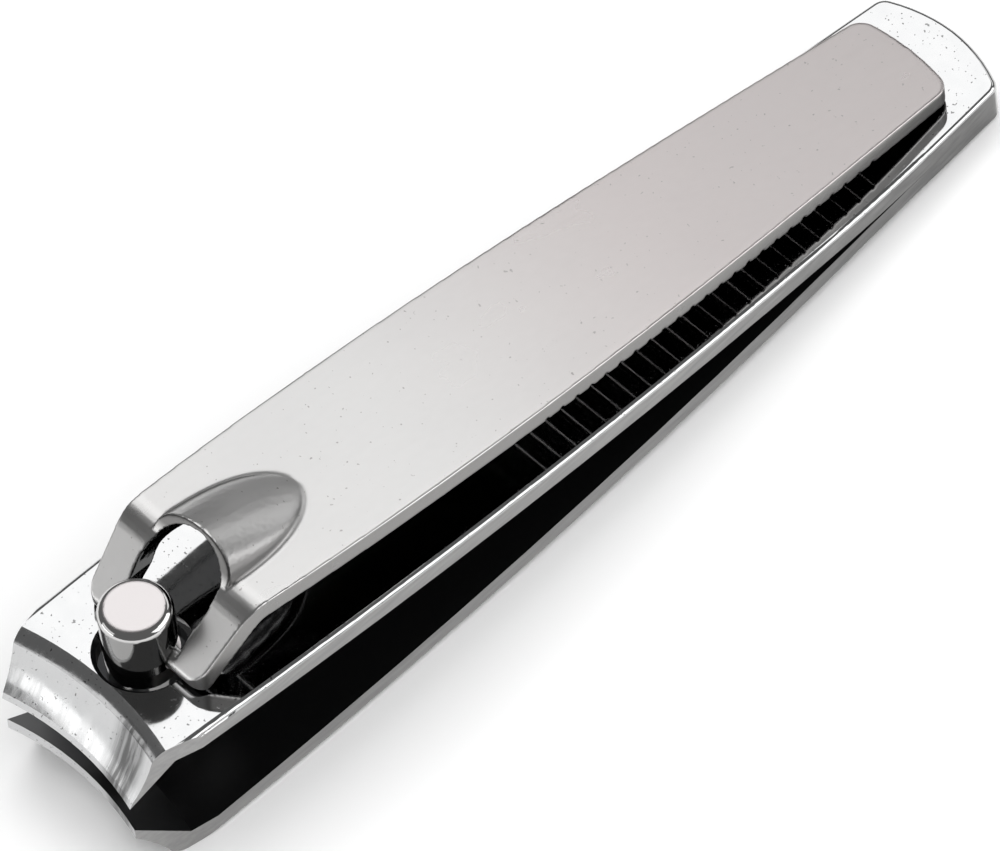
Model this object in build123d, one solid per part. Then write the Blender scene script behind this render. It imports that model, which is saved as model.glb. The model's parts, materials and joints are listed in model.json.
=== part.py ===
from build123d import *
import os
from math import asin, atan2, cos, degrees, radians, sin, tan

# A lever nail clipper in its stored position. Millimetres and degrees.
# The parts are drawn in a working frame: X across, Y from the jaws (-) to the tail (+),
# Z up, with the plane where the two arms touch at z = 0 and the pin at y = 0.
# At the end everything is tipped onto its feet and centred over the origin.

# Spring arms
SHEET = 1.2            # thickness of each arm
TAIL_Y = 56.5          # rear end of the arms
TAIL_DROP = 1.1        # how far the tail edge drops back at its corners
TAIL_CORNER_R = 0.9
PART_Y = 50.0          # in front of this line the arms spread
BEND_RUN = 7.0         # length of the gentle bend that spreads them
UPPER_SPREAD = 4.05    # slope of the upper arm's straight run
LOWER_SPREAD = 3.35
TAIL_HALF_W = 4.35     # half widths of the plan outline
WAIST_HALF_W = 6.14
FRONT_HALF_W = 5.85
EDGE_HALF_W = 4.84
WAIST_Y = 22.0
FRONT_Y = -1.2         # where the sides start to narrow towards the jaw
JAW_Y = -5.5           # corners of the cutting edge
EDGE_ROUND = 0.3       # rounding along the outer long edges
RIM_MIN_LENGTH = 0.5   # shorter edges, and those this near the middle, are not rim
RIM_TOLERANCE = 0.05
FOOT_Y = -3.56         # the bent front of the lower arm that it lies on

# Jaws, in each arm's own frame: y along the arm from the pin, z out of its inner face
HOLLOW_R = 18.3        # plan radius of the concave cutting edge
UPPER_EDGE = (-4.71, -2.19)
UPPER_LAND = (-4.57, -1.85)
LOWER_EDGE = (-4.72, -2.66)
LOWER_LAND = (-4.80, -1.95)
JAW_ROOT_Y = -1.2      # the strip ends here and the jaw takes over
JAW_BACK_Y = 0.3       # the jaw's own blank overlaps the strip up to here
JAW_HALF_TURN = 25.0
BEND_IN_Y = -2.0
BEND_OUT_Y = -2.45
SHOULDER = (-3.25, 0.72)
SHOULDER_MID = (-2.89, 1.03)
GRIND_DEPTH = 0.16     # how far the ground face is hollowed below its chord

# Pin
PIN_R = 1.95
PIN_LEAN = 2.0         # the pin leans back from the working frame's vertical
PIN_TOP = 8.3          # height of the top face
PIN_TOP_ROUND = 0.5
HEAD_R = 2.7           # round head sunk into the lower arm's underside
HEAD_T = 0.45
HEAD_BOTTOM = -3.66
RUN_GAP = 0.05         # running clearance of the pin in the lower arm
HOLE_R = 2.4           # the wide hole in the upper arm lets that arm swing
HOLE_Y = 0.15
HOLE_CHAMFER = 0.25

# Lever
LEVER_T = 1.1
BAR_Y = 0.72           # centre of the cross-bar that hooks into the pin
BAR_Z = 5.20
BEND_Y = 3.9           # outer corner between the prongs and the handle
BEND_Z = 8.65
LEVER_END_Y = 53.4
LEVER_END_Z = 2.52
LEVER_BEND_R = 2.4
PRONG_HALF_W = 4.15
PRONG_TIP_R = 1.0
OPENING_HALF_W = 2.3
OPENING_PAST_MOUTH = 0.6
BAR_ROOT = 0.5         # how far the cross-bar runs into each prong
LEVER_WIDTHS = [(4.75, 3.9), (5.05, 15.5), (4.49, 35.0), (3.32, 53.0)]    # half width, y
LEVER_CORNER_R = 1.1
NOTCH_GAP = 0.08       # play of the cross-bar in the pin's notch

# Hood over the opening: the upper half of a drop, pressed up out of the sheet
HOOD_HALF_W = 2.75
HOOD_LENGTH = 7.0      # from the mouth to the tip
HOOD_RISE = 1.56       # height of the crest over the handle at the mouth
HOOD_WALL = 0.28
HOOD_CREST_CURVE = 0.85    # below 1 the crest stays high for longer before it falls
HOOD_TAPER_CURVE = 2.8     # above 1 the sides stay wide for longer before they close
HOOD_TIP_CURVE = 0.55      # below 1 the tip is blunt
HOOD_SHARES = (-0.3, 0.0, 0.2, 0.4, 0.6, 0.78, 0.9, 0.97, 0.998)    # sections, mouth 0, tip 1
MOUTH_Y = 4.1
MOUTH_LEAN = 52.0      # the mouth's plane leans back this far over the opening

# File grooves across the lever's underside
FILE_COUNT = 24
FILE_PITCH = 1.03
FILE_LAST_Y = 47.0
GROOVE_R = 0.15        # round-bottomed grooves, as deep as this

# Rear rivet, ground flush with both arms
RIVET_R = 1.5
RIVET_Y = 51.6
RIVET_GAP = 0.08

# Cutter sizes, larger than anything they cut
WIDE = 20.0
TALL = 40.0
THROUGH = 3 * SHEET    # through one arm
BEYOND = 1.0           # how far a blank runs past the outline that trims it

# Picking corners of an outline
NEAR = 0.1             # a corner this close to a line lies on it
OFF_MIDDLE = 1.0       # a corner this far from the middle is not on the mirror line


def side_face(*edges):
    """A closed face in the side plane, from edges whose points are (y, z)."""
    return make_face(Plane.YZ * (Curve() + list(edges)))


def side_solid(*edges, half_width=WIDE):
    """A side face extruded to both sides of the middle."""
    return extrude(side_face(*edges), amount=half_width, both=True)


def arm_point(spread, point):
    """A point (y, z) of an arm's own frame, in the working frame's side plane."""
    y, z = point
    lean = radians(spread)
    return (y * cos(lean) + z * sin(lean), gap_at_pin(spread) - y * sin(lean) + z * cos(lean))


def bend_point(spread, part_of_bend, out):
    """A point on the gentle bend, out from its inner face, part_of_bend from 0 to 1."""
    radius = BEND_RUN / sin(radians(spread))
    turn = radians(spread * part_of_bend)
    return (PART_Y - (radius - out) * sin(turn), radius - (radius - out) * cos(turn))


def gap_at_pin(spread):
    """Height of an arm's inner face over the touching plane, at y = 0."""
    lean = radians(spread)
    rise = BEND_RUN / sin(lean) * (1 - cos(lean))
    return rise + (PART_Y - BEND_RUN) * tan(lean)


def arm_frame(spread):
    """The arm's own frame: on its inner face at the pin, tilted with its straight run."""
    return Location((0, 0, gap_at_pin(spread)), (-spread, 0, 0))


def arm_outline():
    """Plan outline of an arm: bowed sides, rounded tail, sides narrowing at the jaw."""
    tail = (TAIL_HALF_W, TAIL_Y - TAIL_DROP)
    edge = (EDGE_HALF_W, JAW_Y)
    side = ThreePointArc(tail, (WAIST_HALF_W, WAIST_Y), (FRONT_HALF_W, FRONT_Y))
    front_y = JAW_Y - BEYOND
    nose = Polyline(side @ 1, edge, (edge[0], front_y), (0, front_y))
    half_tail = ThreePointArc(tail, (TAIL_HALF_W / 2, TAIL_Y - TAIL_DROP / 4), (0, TAIL_Y))
    half = Curve() + [side, nose, half_tail, Line((0, TAIL_Y), (0, front_y))]
    face = make_face(half)
    face = face + mirror(face, about=Plane.YZ)
    corners = [v for v in face.vertices() if abs(v.Y - tail[1]) < NEAR]
    face = fillet(corners, TAIL_CORNER_R)
    return extrude(face, amount=TALL, both=True)


def arm_strip(spread):
    """The bent strip of an arm, from its tail to just in front of the pin."""
    past_tail = TAIL_Y + BEYOND
    inner = [bend_point(spread, share, 0) for share in (0, 0.5, 1)]
    outer = [bend_point(spread, share, SHEET) for share in (0, 0.5, 1)]
    front_in = arm_point(spread, (JAW_ROOT_Y, 0))
    front_out = arm_point(spread, (JAW_ROOT_Y, SHEET))
    return side_solid(
        Line((past_tail, 0), inner[0]),
        ThreePointArc(*inner),
        Polyline(inner[2], front_in, front_out, outer[2]),
        ThreePointArc(*reversed(outer)),
        Polyline(outer[0], (past_tail, SHEET), (past_tail, 0)),
    )


def jaw(spread, edge, land):
    """The bent and hollow-ground jaw, turned about an upright axis in front of it."""
    grind_mid = ((SHOULDER[0] + land[0]) / 2 + GRIND_DEPTH, (SHOULDER[1] + land[1]) / 2)
    face = side_face(
        Line((JAW_BACK_Y, SHEET), (BEND_OUT_Y, SHEET)),
        ThreePointArc((BEND_OUT_Y, SHEET), SHOULDER_MID, SHOULDER),
        ThreePointArc(SHOULDER, grind_mid, land),
        Polyline(land, edge, (BEND_IN_Y, 0), (JAW_BACK_Y, 0), (JAW_BACK_Y, SHEET)),
    )
    axis = Axis((0, edge[0] - HOLLOW_R, 0), (0, 0, 1))
    turned = revolve(face, axis=axis, revolution_arc=2 * JAW_HALF_TURN)
    turned = turned.rotate(axis, -JAW_HALF_TURN)
    return arm_frame(spread) * turned


def outer_height(spread, y):
    """Height of an arm's outer face over the touching plane, at y."""
    lean = radians(spread)
    if y > PART_Y - BEND_RUN:
        radius = BEND_RUN / sin(lean)
        into_bend = max(PART_Y - y, 0)
        return radius - ((radius - SHEET) ** 2 - into_bend ** 2) ** 0.5
    return gap_at_pin(spread) - y * tan(lean) + SHEET / cos(lean)


def arm(spread, edge, land):
    """A spring arm with its jaw and rounded outer edges, drawn as the upper one."""
    blank = (arm_strip(spread) + jaw(spread, edge, land)) & arm_outline()
    rim = []
    for line in blank.edges():
        middle = line @ 0.5
        on_outer_face = abs(middle.Z - outer_height(spread, middle.Y)) < RIM_TOLERANCE
        is_long = min(line.length, abs(middle.X)) > RIM_MIN_LENGTH
        if on_outer_face and is_long and middle.Y > 0:
            rim.append(line)
    return fillet(rim, EDGE_ROUND)


def upper_arm():
    """The upper arm, with the wide hole that lets it swing past the pin."""
    frame = arm_frame(UPPER_SPREAD)
    hole = Cylinder(HOLE_R, THROUGH)
    countersink = Pos(0, 0, SHEET - HOLE_CHAMFER / 2) * Cone(HOLE_R, HOLE_R + HOLE_CHAMFER, HOLE_CHAMFER)
    cutter = frame * Pos(0, HOLE_Y, 0) * (hole + countersink)
    rivet_hole = Pos(0, RIVET_Y, 0) * Cylinder(RIVET_R + RIVET_GAP, THROUGH)
    return arm(UPPER_SPREAD, UPPER_EDGE, UPPER_LAND) - cutter - rivet_hole


def pin_frame():
    """The pin's own frame: its axis leans back a little."""
    return Location((0, 0, 0), (-PIN_LEAN, 0, 0))


def lower_arm():
    """The lower arm, with a close hole for the pin and a seat for its head."""
    shape = mirror(arm(LOWER_SPREAD, LOWER_EDGE, LOWER_LAND), about=Plane.XY)
    hole = Cylinder(PIN_R + RUN_GAP, TALL)
    seat_depth = 2 * SHEET
    seat_top = HEAD_BOTTOM + HEAD_T + RUN_GAP
    seat = Pos(0, 0, seat_top - seat_depth / 2) * Cylinder(HEAD_R + RUN_GAP, seat_depth)
    rivet_hole = Pos(0, RIVET_Y, 0) * Cylinder(RIVET_R, THROUGH)
    return shape - pin_frame() * (hole + seat) - rivet_hole


def rear_rivet():
    """A plain rivet, ground flush with the outer faces of both arms."""
    return Pos(0, RIVET_Y, 0) * Cylinder(RIVET_R, 2 * SHEET)


def pin():
    """The post: sunk head, rounded top edge, and a notch at the back for the cross-bar."""
    length = PIN_TOP - HEAD_BOTTOM
    post = Pos(0, 0, HEAD_BOTTOM + length / 2) * Cylinder(PIN_R, length)
    post = fillet(post.edges().sort_by(Axis.Z)[-1], PIN_TOP_ROUND)
    head = Pos(0, 0, HEAD_BOTTOM + HEAD_T / 2) * Cylinder(HEAD_R, HEAD_T)
    notch_r = LEVER_T / 2 + NOTCH_GAP
    notch = Pos(0, BAR_Y, BAR_Z) * Rot(0, 90, 0) * Cylinder(notch_r, WIDE)
    notch_mouth = Pos(0, BAR_Y + PIN_R, BAR_Z) * Box(WIDE, 2 * PIN_R, 2 * notch_r)
    return pin_frame() * (post + head) - notch - notch_mouth


def handle_slope():
    """How steeply the handle falls towards its tail, in radians."""
    return atan2(BEND_Z - LEVER_END_Z, LEVER_END_Y - BEND_Y)


def lever_top_point(y):
    """A point (y, z) on the handle's upper face."""
    return (y, BEND_Z - tan(handle_slope()) * (y - BEND_Y))


def handle_frame():
    """On the handle's upper face at the bend, tilted with the handle."""
    return Location((0, BEND_Y, BEND_Z), (-degrees(handle_slope()), 0, 0))


def prong_angle():
    """Slope of the prongs, from the cross-bar's centre up to the bend."""
    to_corner = atan2(BEND_Z - BAR_Z, BEND_Y - BAR_Y)
    distance = ((BEND_Z - BAR_Z) ** 2 + (BEND_Y - BAR_Y) ** 2) ** 0.5
    return to_corner - asin(LEVER_T / 2 / distance)


def lever_sheet():
    """The lever's bent sheet: handle and prong section, seen from the side."""
    slope = handle_slope()
    prong_slope = prong_angle()
    inward = (prong_slope - slope) / 2
    inner_reach = LEVER_T / cos((prong_slope + slope) / 2)
    inner_corner = (BEND_Y + inner_reach * sin(inward), BEND_Z - inner_reach * cos(inward))
    drop = LEVER_T / cos(slope)
    out = (-sin(prong_slope) * LEVER_T / 2, cos(prong_slope) * LEVER_T / 2)
    tip = (BAR_Y - cos(prong_slope) * LEVER_T / 2, BAR_Z - sin(prong_slope) * LEVER_T / 2)
    above_bar = (BAR_Y + out[0], BAR_Z + out[1])
    below_bar = (BAR_Y - out[0], BAR_Z - out[1])
    sheet = side_solid(
        ThreePointArc(below_bar, tip, above_bar),
        Polyline(above_bar, (BEND_Y, BEND_Z), (LEVER_END_Y, LEVER_END_Z)),
        Polyline((LEVER_END_Y, LEVER_END_Z), (LEVER_END_Y, LEVER_END_Z - drop), inner_corner, below_bar),
    )
    outer_bend = sheet.edges().filter_by(Axis.X).sort_by(Axis.Z)[-1]
    sheet = fillet(outer_bend, LEVER_BEND_R)
    inner_bend = sheet.edges().filter_by(Axis.X).sort_by_distance(Vector(0, *inner_corner))[0]
    return fillet(inner_bend, LEVER_BEND_R - LEVER_T)


def lever_outline():
    """Plan outline of the lever: barrel-shaped handle, bowed tail, prongs with round tips."""
    side = Spline(*LEVER_WIDTHS)
    prong = Line((PRONG_HALF_W, BAR_Y - LEVER_T / 2), side @ 0)
    nose = Line((0, BAR_Y - LEVER_T / 2), prong @ 0)
    corner_y = (side @ 1).Y
    bow = (LEVER_END_Y - corner_y) / 4
    end = ThreePointArc(side @ 1, ((side @ 1).X / 2, LEVER_END_Y - bow), (0, LEVER_END_Y))
    face = make_face(Curve() + [nose, prong, side, end, Line(end @ 1, nose @ 0)])
    face = face + mirror(face, about=Plane.YZ)
    tips = [v for v in face.vertices() if v.Y < BAR_Y and abs(v.X) > OFF_MIDDLE]
    face = fillet(tips, PRONG_TIP_R)
    tails = [v for v in face.vertices() if abs(v.Y - corner_y) < NEAR and abs(v.X) > OFF_MIDDLE]
    face = fillet(tails, LEVER_CORNER_R)
    return extrude(face, amount=TALL, both=True)


def drop_section(share, half_width, length, rise, depth):
    """One upright ellipse of the drop, a share of the way from the mouth to its tip."""
    behind = max(share, 0)
    width = half_width * (1 - behind ** HOOD_TAPER_CURVE) ** HOOD_TIP_CURVE
    height = rise * (1 - share) ** HOOD_CREST_CURVE + depth
    plane = Plane(origin=(0, share * length, -depth), x_dir=(1, 0, 0), z_dir=(0, 1, 0))
    return plane * Ellipse(width, height)


def drop_shape(half_width, length, rise, depth=0):
    """A drop about the handle's upper face: widest at the mouth, its crest falling to the tip."""
    sections = [drop_section(share, half_width, length, rise, depth) for share in HOOD_SHARES]
    return handle_frame() * Pos(0, MOUTH_Y - BEND_Y, 0) * loft(sections)


def behind_mouth():
    """Everything behind the leaning plane of the hood's mouth."""
    half = Pos(0, WIDE, 0) * Box(TALL, 2 * WIDE, TALL)
    return Location((0, MOUTH_Y, BEND_Z), (MOUTH_LEAN - 90, 0, 0)) * half


def file_grooves():
    """A row of grooves across the handle's underside."""
    cutters = []
    for index in range(FILE_COUNT):
        y, z = lever_top_point(FILE_LAST_Y - index * FILE_PITCH)
        groove = Pos(0, y, z - LEVER_T) * Rot(0, 90, 0) * Cylinder(GROOVE_R, WIDE)
        cutters.append(groove)
    return cutters


def lever():
    """The lever: sheet, opening for the pin, cross-bar, hood and file."""
    opening_front = BAR_Y - LEVER_T
    opening_back = MOUTH_Y + OPENING_PAST_MOUTH
    opening = Pos(0, (opening_front + opening_back) / 2, 0) * Box(
        2 * OPENING_HALF_W, opening_back - opening_front, TALL
    )
    sheet = (lever_sheet() & lever_outline()) - opening
    bar = Pos(0, BAR_Y, BAR_Z) * Rot(0, 90, 0) * Cylinder(LEVER_T / 2, 2 * (OPENING_HALF_W + BAR_ROOT))
    hood = drop_shape(HOOD_HALF_W, HOOD_LENGTH, HOOD_RISE) & behind_mouth()
    inner_width = HOOD_HALF_W - HOOD_WALL
    hollow = drop_shape(inner_width, HOOD_LENGTH - HOOD_WALL, HOOD_RISE - HOOD_WALL, LEVER_T)
    body = sheet + bar + hood - hollow
    return body - file_grooves()


def stand(shapes):
    """Tip the clipper onto its feet and centre it over the origin."""
    front_foot = arm_point(LOWER_SPREAD, (FOOT_Y, SHEET))
    tip = atan2(front_foot[1] - SHEET, TAIL_Y - front_foot[0])
    tipped = {name: shape.rotate(Axis.X, -degrees(tip)) for name, shape in shapes.items()}
    box = Compound(list(tipped.values())).bounding_box()
    shift = Pos(-box.center().X, -box.center().Y, -box.min.Z)
    return {name: shift * shape for name, shape in tipped.items()}


nodes = stand({
    "lower_arm": lower_arm(),
    "upper_arm": upper_arm(),
    "rear_rivet": rear_rivet(),
    "pin": pin(),
    "lever": lever(),
})
os.makedirs("parts", exist_ok=True)
for name, shape in nodes.items():
    export_step(shape, f"parts/{name}.step")
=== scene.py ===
import json
import math

import bpy
import numpy as np
from mathutils import Matrix, Vector


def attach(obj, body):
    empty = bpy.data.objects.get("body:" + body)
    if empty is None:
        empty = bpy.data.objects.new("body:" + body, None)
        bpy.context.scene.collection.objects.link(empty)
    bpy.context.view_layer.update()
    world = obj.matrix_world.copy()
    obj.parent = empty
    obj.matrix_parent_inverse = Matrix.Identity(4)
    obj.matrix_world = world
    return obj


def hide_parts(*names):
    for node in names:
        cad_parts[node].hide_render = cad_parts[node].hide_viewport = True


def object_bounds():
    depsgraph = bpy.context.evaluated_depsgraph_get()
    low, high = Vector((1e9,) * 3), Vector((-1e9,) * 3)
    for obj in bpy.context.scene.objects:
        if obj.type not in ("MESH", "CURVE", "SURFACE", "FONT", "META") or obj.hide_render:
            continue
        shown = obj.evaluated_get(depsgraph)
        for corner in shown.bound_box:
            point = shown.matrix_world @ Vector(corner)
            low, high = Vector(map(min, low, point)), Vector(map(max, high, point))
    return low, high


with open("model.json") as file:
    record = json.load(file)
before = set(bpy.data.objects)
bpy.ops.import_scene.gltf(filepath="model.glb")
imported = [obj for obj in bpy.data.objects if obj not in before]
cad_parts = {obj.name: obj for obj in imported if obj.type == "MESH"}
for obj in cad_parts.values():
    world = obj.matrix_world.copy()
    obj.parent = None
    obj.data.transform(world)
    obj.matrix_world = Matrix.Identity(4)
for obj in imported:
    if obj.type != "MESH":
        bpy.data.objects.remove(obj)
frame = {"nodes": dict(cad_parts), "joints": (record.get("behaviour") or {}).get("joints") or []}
cad_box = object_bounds()

MM = 0.001
nodes = frame["nodes"]
joints = {joint["name"]: joint for joint in frame["joints"]}

# Camera
CAMERA_AZIMUTH = 58.183
CAMERA_ELEVATION = 55.285
CAMERA_ROLL = -13.777
CAMERA_DISTANCE = 485.9 * MM
CAMERA_AIM = Vector((0.0, -1.269, 6.782)) * MM
CAMERA_LENS = 346.38
CAMERA_SHIFT = (0.00703, -0.05509)
CAMERA_CLIP = (0.01, 20.0)

# Lever skin. A vertex is on a valley or a ridge when it lies this many voxels below or above the
# middle of its neighbours. A spread is how many edges out from there the smoothing reaches.
SKIN_VOXEL = 0.05 * MM
SKIN_ROUNDS = 10            # smoothing rounds for the whole skin
# the exporter thins any piece of more than 200 000 by itself
SKIN_TRIANGLES = 190_000    # about this many triangles after thinning
HOOD_START = 3.4 * MM       # behind the tilt joint, the part of the lever with the hood
HOOD_REACH = 11.5 * MM
HOOD_ROUNDS = 110           # smoothing rounds for the valley round the hood's foot
VALLEY_SIGN = 0.06
VALLEY_SPREAD = 7
RIDGE_ROUNDS = 36           # smoothing rounds for the rim of the lever's upper side
RIDGE_SIGN = 0.12
RIDGE_UPWARD = 0.2          # a ridge counts only where the Z of its normal is over this
RIDGE_SPREAD = 4
SMOOTH_FACTOR = 0.5
LEAST_SHARE = 0.01          # vertices with a smaller share of the smoothing are left out
HANDLE_UPWARD = 0.9         # the handle's top is the largest face with a normal's Z over this

# Studio
FLOOR_HALF = 4.0
FLOOR_DROP = 0.02 * MM
FLOOR_COLOUR = (0.93, 0.93, 0.93, 1.0)
FLOOR_ROUGH = 0.9
WORLD_STRENGTH = 0.15
LIGHTS = (  # name, direction from the object, distance, width and height, radiance
    ("key", (-0.48, 0.37, 0.79), 0.8, (0.52, 0.42), 1.5),
    ("front", (-0.47, -0.87, 0.08), 0.9, (0.60, 0.26), 1.8),
    ("front_high", (-0.47, -0.78, 0.42), 0.9, (0.60, 0.24), 0.85),
    ("hood_light", (-0.15, 0.83, 0.52), 0.9, (0.44, 0.20), 0.95),
    ("rim", (0.70, 0.56, 0.43), 0.9, (1.0, 0.62), 1.9),
)
FLOOR_LIGHT = ("floor_light", (0.0, 0.0, 1.0), 1.5, (2.4, 2.4), 1.75)

# Steel. Colours are linear, and a pair of them is the two ends of a noise. A span is where a ramp
# starts and ends; a facing span is read on one coordinate of the surface normal. A noise's scale is
# in features a metre. A relief is a depth and a strength, and a negative depth is sunk.
MIDDLE_SPAN = (0.3, 0.7)    # most of the range of a fractal noise
NOISE_DETAIL = 3.0
NOISE_ROUGHNESS = 0.55

ARM_WEAR = {"scale": 900.0}
ARM_PITS = {"scale": 5200.0, "detail": 1.0}
ARM_STREAKS = {"scale": 3200.0, "stretch": (1.0, 0.10, 0.10), "detail": 2.0}
ARM_GRAIN = {"scale": 6500.0, "stretch": (1.0, 0.05, 0.6)}
ARM_PIT_RELIEF = (-0.004 * MM, 0.5)
ARM_STREAK_RELIEF = (0.004 * MM, 0.35)
ARM_GRAIN_RELIEF = (0.01 * MM, 0.5)
ARM_BRIGHT = ((0.54, 0.545, 0.55), (0.61, 0.61, 0.61))
ARM_PIT = (0.22, 0.22, 0.22)
# the colour of a painted dark reflection on the ground face
ARM_PAINTED_REFLECTION = (0.13, 0.13, 0.13)
# painted shade between the arms, on the inner faces and behind the jaws
ARM_INNER_PAINTED_SHADE = (0.06, 0.061, 0.063)
# the sheared sides' own duller grey, painted darker towards the rear as shade
ARM_SHEARED_FRONT = ((0.24, 0.24, 0.24), (0.42, 0.415, 0.41))
ARM_SHEARED_REAR_SHADED = ((0.10, 0.10, 0.10), (0.26, 0.258, 0.255))
ARM_PIT_SPAN = (0.695, 0.725)
ARM_SIDE_FACING = (0.86, 0.97)
ARM_REAR_SPAN = (0.0, 28.0 * MM)
ARM_INNER_FACING = (0.25, 0.55)
GRIND_SPAN = (4.0 * MM, 2.4 * MM)       # behind the jaws' front edge
JAW_BACK_SPAN = (9.0 * MM, 8.0 * MM)    # likewise
JAW_BACK_FACING = (0.25, 0.5)
SHADE_LEFT = (1.6 * MM, 3.0 * MM)       # a painted dark reflection: the streak on the right of the ground face
SHADE_RIGHT = (4.8 * MM, 4.0 * MM)
SHADE_FACING = (-0.35, -0.6)
SHADE_STREAKS = (0.35, 0.55, 0.55, 1.0)
ARM_POLISH = (0.045, 0.085)             # roughness, as are the next three
GRIND_ROUGH = (0.12, 0.24)
ARM_INNER_ROUGH = 0.42
ARM_SIDE_ROUGH = 0.33

LEVER_CLOUDS = {"scale": 160.0, "stretch": (1.0, 0.55, 1.0), "detail": 4.0}
LEVER_GRAIN = {"scale": 5200.0, "stretch": (1.0, 0.07, 1.0)}
LEVER_SPECKS = {"scale": 4200.0, "detail": 1.0}
LEVER_RELIEF = (0.004 * MM, 0.7)
# the handle's own tone, painted darker and pinker towards the tail; the darkening is painted shade
LEVER_FRONT = ((0.60, 0.595, 0.59), (0.72, 0.715, 0.71))
LEVER_REAR_SHADED = ((0.53, 0.495, 0.49), (0.63, 0.59, 0.585))
LEVER_SPECK = (0.40, 0.385, 0.38)
# painted shade on the lever's sides
LEVER_SIDE_PAINTED_SHADE = (0.30, 0.295, 0.29)
# painted shade under the lever and inside its opening
LEVER_UNDER_PAINTED_SHADE = (0.09, 0.09, 0.09)
# painted shade round the hood's foot
LEVER_FOLD_PAINTED_SHADE = (0.17, 0.167, 0.165)
LEVER_SIDE_FACING = (0.75, 0.95)
LEVER_REAR_SPAN = (-10.0 * MM, 12.0 * MM)
LEVER_SPECK_SPAN = (0.735, 0.765)
LEVER_INSIDE_FACING = (-0.35, -0.75)
LEVER_UNDER_FACING = (-0.3, -0.7)
LEVER_ROUGH = (0.27, 0.35)
LEVER_UNDER_ROUGH = 0.10
FOLD_LEVEL = (0.96, 0.74)               # against the flat handle, as the cosine of the angle
FOLD_FACING = (0.05, 0.2)
FOLD_HALF_WIDTH = (3.6 * MM, 3.2 * MM)
FOLD_FADE = 0.5 * MM

PIN_GRAIN = {"scale": 7000.0, "stretch": (1.0, 0.12, 1.0), "detail": 2.0}
PIN_RELIEF = (0.006 * MM, 0.6)
# painted shade on the post's side
PIN_SIDE_PAINTED_SHADE = (0.29, 0.288, 0.285)
PIN_ROUNDED = (0.62, 0.615, 0.61)
PIN_TOP = (0.64, 0.61, 0.61)
PIN_TOP_FACING = (0.93, 0.98)
PIN_ROUNDED_FACING = (0.12, 0.35)
PIN_SIDE_ROUGH = 0.07
PIN_TOP_ROUGH = 0.30

RIVET_WEAR = {"scale": 1500.0}
RIVET_BRIGHT = ((0.56, 0.56, 0.56), (0.64, 0.64, 0.64))
RIVET_ROUGH = (0.07, 0.13)


def link(obj):
    """Puts an object in the scene."""
    bpy.context.scene.collection.objects.link(obj)
    return obj


def make_camera():
    """The photograph's viewing angle, as a long lens with a small shift."""
    azimuth = math.radians(CAMERA_AZIMUTH)
    elevation = math.radians(CAMERA_ELEVATION)
    level = math.cos(elevation)
    back = Vector((math.sin(azimuth) * level, -math.cos(azimuth) * level, math.sin(elevation)))
    right = Vector((math.cos(azimuth), math.sin(azimuth), 0.0))
    up = back.cross(right)
    turn = Matrix.Rotation(math.radians(CAMERA_ROLL), 3, "Z")
    axes = Matrix((right, up, back)).transposed() @ turn
    data = bpy.data.cameras.new("camera")
    data.lens = CAMERA_LENS
    data.shift_x, data.shift_y = CAMERA_SHIFT
    data.clip_start, data.clip_end = CAMERA_CLIP
    camera = link(bpy.data.objects.new("camera", data))
    camera.matrix_world = Matrix.Translation(CAMERA_AIM + back * CAMERA_DISTANCE) @ axes.to_4x4()
    bpy.context.scene.camera = camera


# ---------------------------------------------------------------- materials

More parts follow.
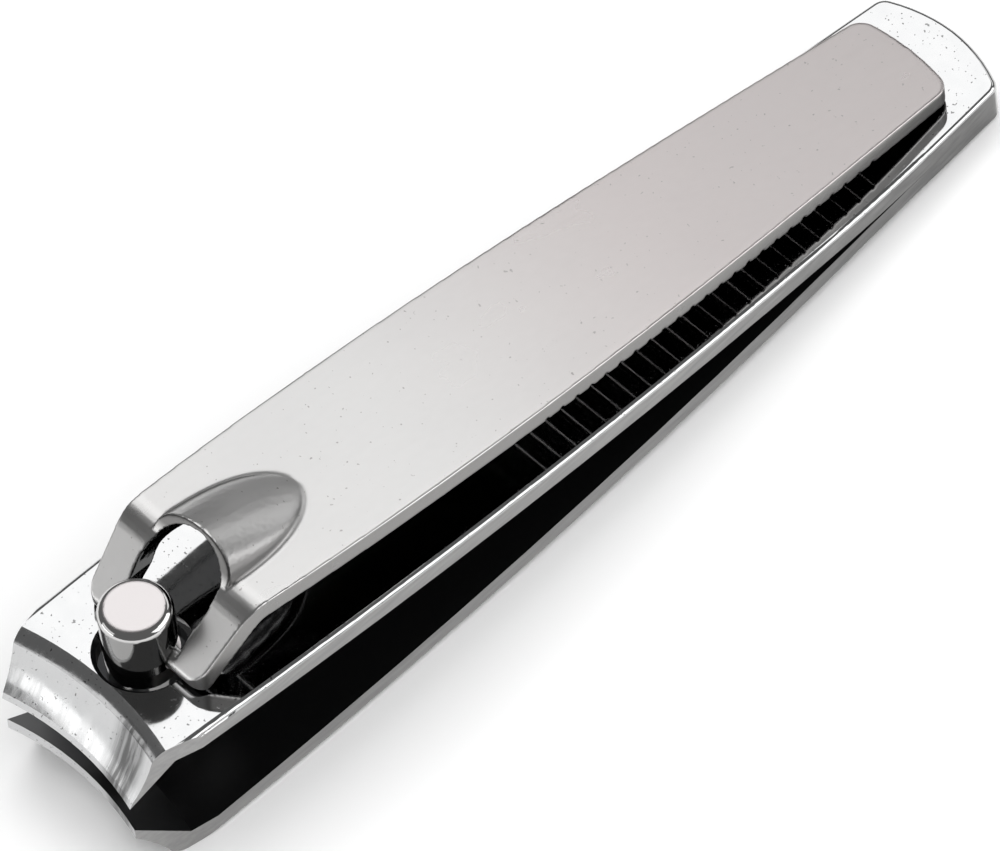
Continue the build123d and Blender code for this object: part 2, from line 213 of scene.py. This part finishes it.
class Shader:
    """A node material built step by step."""

    def __init__(self, name):
        self.material = bpy.data.materials.new(name)
        self.material.use_nodes = True
        self.tree = self.material.node_tree
        self.tree.nodes.clear()
        self.surface = self.tree.nodes.new("ShaderNodeBsdfPrincipled")
        output = self.tree.nodes.new("ShaderNodeOutputMaterial")
        self.join(self.surface.outputs[0], output.inputs[0])
        self.place = self.tree.nodes.new("ShaderNodeTexCoord")

    def join(self, source, target):
        """Gives an input a fixed value, or links a socket to it."""
        if isinstance(source, (int, float, tuple)):
            target.default_value = source
        else:
            self.tree.links.new(source, target)

    def maths(self, operation, first, second=0.0, third=0.0):
        """One operation of a math node on numbers or sockets."""
        node = self.tree.nodes.new("ShaderNodeMath")
        node.operation = operation
        for socket, value in zip(node.inputs, (first, second, third)):
            self.join(value, socket)
        return node.outputs[0]

    def product(self, first, *others):
        """All the values multiplied, in their order."""
        for other in others:
            first = self.maths("MULTIPLY", first, other)
        return first

    def position(self):
        """X, Y and Z of the point, in metres, in the object's own frame."""
        node = self.tree.nodes.new("ShaderNodeSeparateXYZ")
        self.join(self.place.outputs["Object"], node.inputs[0])
        return node.outputs

    def facing(self):
        """X, Y and Z of the surface normal, in the object's own frame."""
        node = self.tree.nodes.new("ShaderNodeSeparateXYZ")
        self.join(self.place.outputs["Normal"], node.inputs[0])
        return node.outputs

    def noise(self, scale, stretch=(1, 1, 1), detail=NOISE_DETAIL):
        """Fractal noise from 0 to 1; a small stretch draws it out along that axis."""
        mapping = self.tree.nodes.new("ShaderNodeMapping")
        mapping.inputs["Scale"].default_value = stretch
        self.join(self.place.outputs["Object"], mapping.inputs[0])
        node = self.tree.nodes.new("ShaderNodeTexNoise")
        node.inputs["Scale"].default_value = scale
        node.inputs["Detail"].default_value = detail
        node.inputs["Roughness"].default_value = NOISE_ROUGHNESS
        self.join(mapping.outputs[0], node.inputs["Vector"])
        return node.outputs[0]

    def ramp(self, value, low, high, to_low=0.0, to_high=1.0):
        """value from low to high becomes to_low to to_high, held beyond both ends."""
        node = self.tree.nodes.new("ShaderNodeMapRange")
        node.interpolation_type = "SMOOTHSTEP"
        self.join(value, node.inputs["Value"])
        for socket, number in zip(node.inputs[1:5], (low, high, to_low, to_high)):
            self.join(number, socket)
        return node.outputs[0]

    def mix(self, share, first, second):
        """first where share is 0, second where it is 1; numbers or sockets."""
        node = self.tree.nodes.new("ShaderNodeMix")
        self.join(share, node.inputs["Factor"])
        self.join(first, node.inputs["A"])
        self.join(second, node.inputs["B"])
        return node.outputs[0]

    def tint(self, share, first, second):
        """A colour between two colours."""
        node = self.tree.nodes.new("ShaderNodeMix")
        node.data_type = "RGBA"
        sockets = [s for s in node.inputs if s.type == "RGBA"]
        factor = [s for s in node.inputs if s.type == "VALUE"][0]
        self.join(share, factor)
        for socket, colour in zip(sockets, (first, second)):
            self.join((*colour, 1.0) if isinstance(colour, tuple) else colour, socket)
        return [s for s in node.outputs if s.type == "RGBA"][0]

    def bump(self, height, distance, strength, under=None):
        """Relief from a height of 0 to 1, on top of the relief under it if one is given."""
        node = self.tree.nodes.new("ShaderNodeBump")
        node.inputs["Distance"].default_value = distance
        node.inputs["Strength"].default_value = strength
        self.join(height, node.inputs["Height"])
        if under is not None:
            self.join(under, node.inputs["Normal"])
        return node.outputs[0]

    def finish(self, colour, roughness, normal=None):
        """The finished material, as bare metal."""
        self.surface.inputs["Metallic"].default_value = 1.0
        self.join(colour, self.surface.inputs["Base Color"])
        self.join(roughness, self.surface.inputs["Roughness"])
        if normal is not None:
            self.join(normal, self.surface.inputs["Normal"])
        return self.material


def polished_arm(name, front_y, inward):
    """Mirror-polished stainless steel with duller sheared sides, inner face and ground jaws, plus
    painted shade and a painted dark reflection.
    """
    shader = Shader(name)
    x, y, _ = shader.position()
    face_x, face_y, face_z = shader.facing()
    side = shader.ramp(shader.maths("ABSOLUTE", face_x), *ARM_SIDE_FACING)
    jaw = shader.ramp(y, *(front_y + back for back in GRIND_SPAN))
    wear = shader.noise(**ARM_WEAR)
    pits = shader.ramp(shader.noise(**ARM_PITS), *ARM_PIT_SPAN)
    streaks = shader.noise(**ARM_STREAKS)
    grain = shader.noise(**ARM_GRAIN)

    bright = shader.tint(wear, *ARM_BRIGHT)
    bright = shader.tint(pits, bright, ARM_PIT)
    # Painted dark reflection: a streaked dark band on the right of the ground face, near the jaws
    painted_reflection = shader.product(
        shader.ramp(x, *SHADE_LEFT), shader.ramp(x, *SHADE_RIGHT),
        shader.ramp(streaks, *SHADE_STREAKS), shader.ramp(face_y, *SHADE_FACING), jaw)
    bright = shader.tint(painted_reflection, bright, ARM_PAINTED_REFLECTION)
    # The sheared sides' own duller grey, with painted shade that grows towards the rear
    sheared_front = shader.tint(grain, *ARM_SHEARED_FRONT)
    sheared_rear = shader.tint(grain, *ARM_SHEARED_REAR_SHADED)
    sheared = shader.tint(shader.ramp(y, *ARM_REAR_SPAN), sheared_front, sheared_rear)
    # Painted shade: the faces that look towards the other arm, and those behind the jaws, go
    # near-black
    inner = shader.ramp(shader.maths("MULTIPLY", face_z, inward), *ARM_INNER_FACING)
    in_front = shader.ramp(y, *(front_y + back for back in JAW_BACK_SPAN))
    behind_jaw = shader.product(shader.ramp(face_y, *JAW_BACK_FACING), in_front)
    inner = shader.maths("MAXIMUM", inner, behind_jaw)
    colour = shader.tint(inner, bright, ARM_INNER_PAINTED_SHADE)
    colour = shader.tint(side, colour, sheared)

    polish = shader.ramp(wear, *MIDDLE_SPAN, *ARM_POLISH)
    ground = shader.ramp(streaks, *MIDDLE_SPAN, *GRIND_ROUGH)
    roughness = shader.mix(jaw, polish, ground)
    roughness = shader.mix(inner, roughness, ARM_INNER_ROUGH)
    roughness = shader.mix(side, roughness, ARM_SIDE_ROUGH)
    relief = shader.bump(pits, *ARM_PIT_RELIEF)
    relief = shader.bump(shader.product(streaks, jaw), *ARM_STREAK_RELIEF, relief)
    relief = shader.bump(shader.product(grain, side), *ARM_GRAIN_RELIEF, relief)
    return shader.finish(colour, roughness, relief)


def satin_lever(slope, hinge_y):
    """Satin stainless steel: cloudy, grained along the handle, with painted shade round the hood's
    foot, on the sides, underneath and towards the tail.
    """
    shader = Shader("satin_lever")
    x, y, _ = shader.position()
    face_x, face_y, face_z = shader.facing()
    side = shader.ramp(shader.maths("ABSOLUTE", face_x), *LEVER_SIDE_FACING)
    clouds = shader.noise(**LEVER_CLOUDS)
    grain = shader.noise(**LEVER_GRAIN)
    clouded = shader.ramp(clouds, *MIDDLE_SPAN)
    front = shader.tint(clouded, *LEVER_FRONT)
    rear = shader.tint(clouded, *LEVER_REAR_SHADED)
    # Painted shade: the handle darkens towards its tail
    upper = shader.tint(shader.ramp(y, *LEVER_REAR_SPAN), front, rear)
    specks = shader.ramp(shader.noise(**LEVER_SPECKS), *LEVER_SPECK_SPAN)
    upper = shader.tint(specks, upper, LEVER_SPECK)

    # Painted shade: the underside and the walls of the opening, which face the lever's middle, go
    # near-black
    outward = shader.maths("MULTIPLY", shader.maths("SIGN", x), face_x)
    inside = shader.ramp(outward, *LEVER_INSIDE_FACING)
    under = shader.maths("MAXIMUM", inside, shader.ramp(face_z, *LEVER_UNDER_FACING))
    # Painted shade: the lever's sides are darker than its top
    colour = shader.tint(side, upper, LEVER_SIDE_PAINTED_SHADE)
    colour = shader.tint(under, colour, LEVER_UNDER_PAINTED_SHADE)

    # Painted shade on the fold round the hood's foot, where upward faces tilt away from the flat
    # handle
    level = shader.maths("MULTIPLY", face_y, math.sin(slope))
    level = shader.maths("MULTIPLY_ADD", face_z, math.cos(slope), level)
    start, end = hinge_y + HOOD_START, hinge_y + HOOD_REACH
    fold = shader.product(
        shader.ramp(level, *FOLD_LEVEL), shader.ramp(face_z, *FOLD_FACING),
        shader.ramp(shader.maths("ABSOLUTE", x), *FOLD_HALF_WIDTH),
        shader.ramp(y, start, start + FOLD_FADE), shader.ramp(y, end, end - FOLD_FADE))
    colour = shader.tint(fold, colour, LEVER_FOLD_PAINTED_SHADE)

    roughness = shader.ramp(clouds, *MIDDLE_SPAN, *LEVER_ROUGH)
    roughness = shader.mix(under, roughness, LEVER_UNDER_ROUGH)
    relief = shader.bump(grain, *LEVER_RELIEF)
    return shader.finish(colour, roughness, relief)


def turned_pin():
    """A polished post with a lightly brushed top, its side painted dark as shade below the brighter
    rounded edge.
    """
    shader = Shader("turned_pin")
    face_z = shader.facing()[2]
    top = shader.ramp(face_z, *PIN_TOP_FACING)
    grain = shader.noise(**PIN_GRAIN)
    rounded = shader.ramp(face_z, *PIN_ROUNDED_FACING)
    # Painted shade: the side is dark, so the rounded edge shows brighter
    colour = shader.tint(rounded, PIN_SIDE_PAINTED_SHADE, PIN_ROUNDED)
    colour = shader.tint(top, colour, PIN_TOP)
    roughness = shader.mix(top, PIN_SIDE_ROUGH, PIN_TOP_ROUGH)
    relief = shader.bump(shader.product(grain, top), *PIN_RELIEF)
    return shader.finish(colour, roughness, relief)


def flush_rivet():
    """The ground-flush rivet, polished with the arms."""
    shader = Shader("flush_rivet")
    wear = shader.noise(**RIVET_WEAR)
    colour = shader.tint(wear, *RIVET_BRIGHT)
    return shader.finish(colour, shader.ramp(wear, *MIDDLE_SPAN, *RIVET_ROUGH))


def dress(obj, material):
    """Gives an object one material."""
    obj.data.materials.clear()
    obj.data.materials.append(material)


# ---------------------------------------------------------------- pieces

def applied(obj):
    """Applies an object's modifiers to its mesh."""
    graph = bpy.context.evaluated_depsgraph_get()
    mesh = bpy.data.meshes.new_from_object(obj.evaluated_get(graph))
    obj.modifiers.clear()
    old = obj.data
    obj.data = mesh
    bpy.data.meshes.remove(old)


def soften(obj, rounds, share=None):
    """Smooths a mesh, by a share from 0 to 1 for each vertex if one is given."""
    smooth = obj.modifiers.new("soften", "SMOOTH")
    smooth.iterations = rounds
    smooth.factor = SMOOTH_FACTOR
    if share is not None:
        obj.vertex_groups.clear()
        group = obj.vertex_groups.new(name="share")
        for index in np.flatnonzero(share > LEAST_SHARE):
            group.add([int(index)], float(share[index]), "REPLACE")
        smooth.vertex_group = "share"
    applied(obj)


def thin_out(obj, triangles):
    """Thins a mesh to about a number of triangles."""
    thin = obj.modifiers.new("thin", "DECIMATE")
    thin.ratio = triangles / sum(len(face.vertices) - 2 for face in obj.data.polygons)
    applied(obj)


def crease_shares(mesh, pick, spread):
    """For each vertex, how near it is to the creases that pick chooses, 0 to 1."""
    count = len(mesh.vertices)
    place = np.zeros(count * 3)
    mesh.vertices.foreach_get("co", place)
    place = place.reshape(count, 3)
    normal = np.zeros(count * 3)
    mesh.vertices.foreach_get("normal", normal)
    normal = normal.reshape(count, 3)
    ends = np.zeros(len(mesh.edges) * 2, dtype=np.int64)
    mesh.edges.foreach_get("vertices", ends)
    first, second = ends.reshape(-1, 2).T
    degree = np.bincount(first, minlength=count) + np.bincount(second, minlength=count)

    def around(values):
        """The mean of the values at each vertex's neighbours."""
        total = np.zeros_like(values)
        np.add.at(total, first, values[second])
        np.add.at(total, second, values[first])
        return (total.T / degree).T

    # How far each vertex lies below its neighbours' middle, in voxels
    hollow = ((around(place) - place) * normal).sum(axis=1) / SKIN_VOXEL
    share = pick(place, normal, hollow).astype(float)
    for _ in range(spread):
        share = np.maximum(share, around(share))
    return share


def handle_slope(mesh):
    """How steeply the handle falls towards its tail, from its largest upward face."""
    upward = [face for face in mesh.polygons if face.normal.z > HANDLE_UPWARD]
    normal = max(upward, key=lambda face: face.area).normal
    return math.atan2(normal.y, normal.z)


def lever_skin():
    """The pressed lever: one continuous skin with soft edges and a blended hood."""
    skin = link(bpy.data.objects.new("lever_skin", nodes["lever"].data.copy()))
    lie_flat = Matrix.Rotation(handle_slope(skin.data), 4, "X")
    skin.data.transform(lie_flat)
    remesh = skin.modifiers.new("skin", "REMESH")
    remesh.mode = "VOXEL"
    remesh.voxel_size = SKIN_VOXEL
    applied(skin)
    hinge = lie_flat @ Vector(joints["lever_tilt"]["pos_m"])
    start, end = hinge.y + HOOD_START, hinge.y + HOOD_REACH

    def hood_foot(place, normal, hollow):
        return (hollow > VALLEY_SIGN) & (place[:, 1] > start) & (place[:, 1] < end)

    def upper_rim(place, normal, hollow):
        return (hollow < -RIDGE_SIGN) & (normal[:, 2] > RIDGE_UPWARD)

    soften(skin, HOOD_ROUNDS, crease_shares(skin.data, hood_foot, VALLEY_SPREAD))
    soften(skin, RIDGE_ROUNDS, crease_shares(skin.data, upper_rim, RIDGE_SPREAD))
    soften(skin, SKIN_ROUNDS)
    thin_out(skin, SKIN_TRIANGLES)
    skin.data.transform(lie_flat.inverted())
    skin.data.polygons.foreach_set("use_smooth", [True] * len(skin.data.polygons))
    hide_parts("lever")
    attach(skin, "lever")
    return skin


# ---------------------------------------------------------------- studio

def make_floor():
    """A plain pale floor."""
    mesh = bpy.data.meshes.new("floor")
    corners = [(x * FLOOR_HALF, y * FLOOR_HALF, 0) for x, y in ((-1, -1), (1, -1), (1, 1), (-1, 1))]
    mesh.from_pydata(corners, [], [(0, 1, 2, 3)])
    floor = link(bpy.data.objects.new("floor", mesh))
    material = bpy.data.materials.new("floor")
    material.use_nodes = True
    surface = material.node_tree.nodes["Principled BSDF"]
    surface.inputs["Base Color"].default_value = FLOOR_COLOUR
    surface.inputs["Roughness"].default_value = FLOOR_ROUGH
    mesh.materials.append(material)
    floor.location.z = -FLOOR_DROP


def softbox(name, direction, distance, size, radiance):
    """A soft area light shining on the object from a direction."""
    data = bpy.data.lights.new(name, "AREA")
    data.shape = "RECTANGLE"
    data.size, data.size_y = size
    data.energy = radiance * math.pi * size[0] * size[1]
    light = link(bpy.data.objects.new(name, data))
    away = Vector(direction).normalized()
    light.location = away * distance
    light.rotation_mode = "QUATERNION"
    light.rotation_quaternion = away.to_track_quat("Z", "Y")
    light.visible_camera = False
    return light


def make_world(strength):
    """Plain, even white surroundings."""
    world = bpy.data.worlds.new("studio")
    world.use_nodes = True
    bpy.context.scene.world = world
    background = world.node_tree.nodes["Background"]
    background.inputs["Color"].default_value = (1, 1, 1, 1)
    background.inputs["Strength"].default_value = strength


make_camera()
bpy.context.scene.view_settings.view_transform = "Standard"
make_floor()
make_world(WORLD_STRENGTH)
for light in LIGHTS:
    softbox(*light)
softbox(*FLOOR_LIGHT).visible_glossy = False

# An arm's number is the way along Z that its inner face looks
for arm, inward in (("upper_arm", -1.0), ("lower_arm", 1.0)):
    dress(nodes[arm], polished_arm(arm + "_steel", cad_box[0].y, inward))
dress(nodes["pin"], turned_pin())
dress(nodes["rear_rivet"], flush_rivet())
lever_slope = handle_slope(nodes["lever"].data)
dress(lever_skin(), satin_lever(lever_slope, joints["lever_tilt"]["pos_m"][1]))
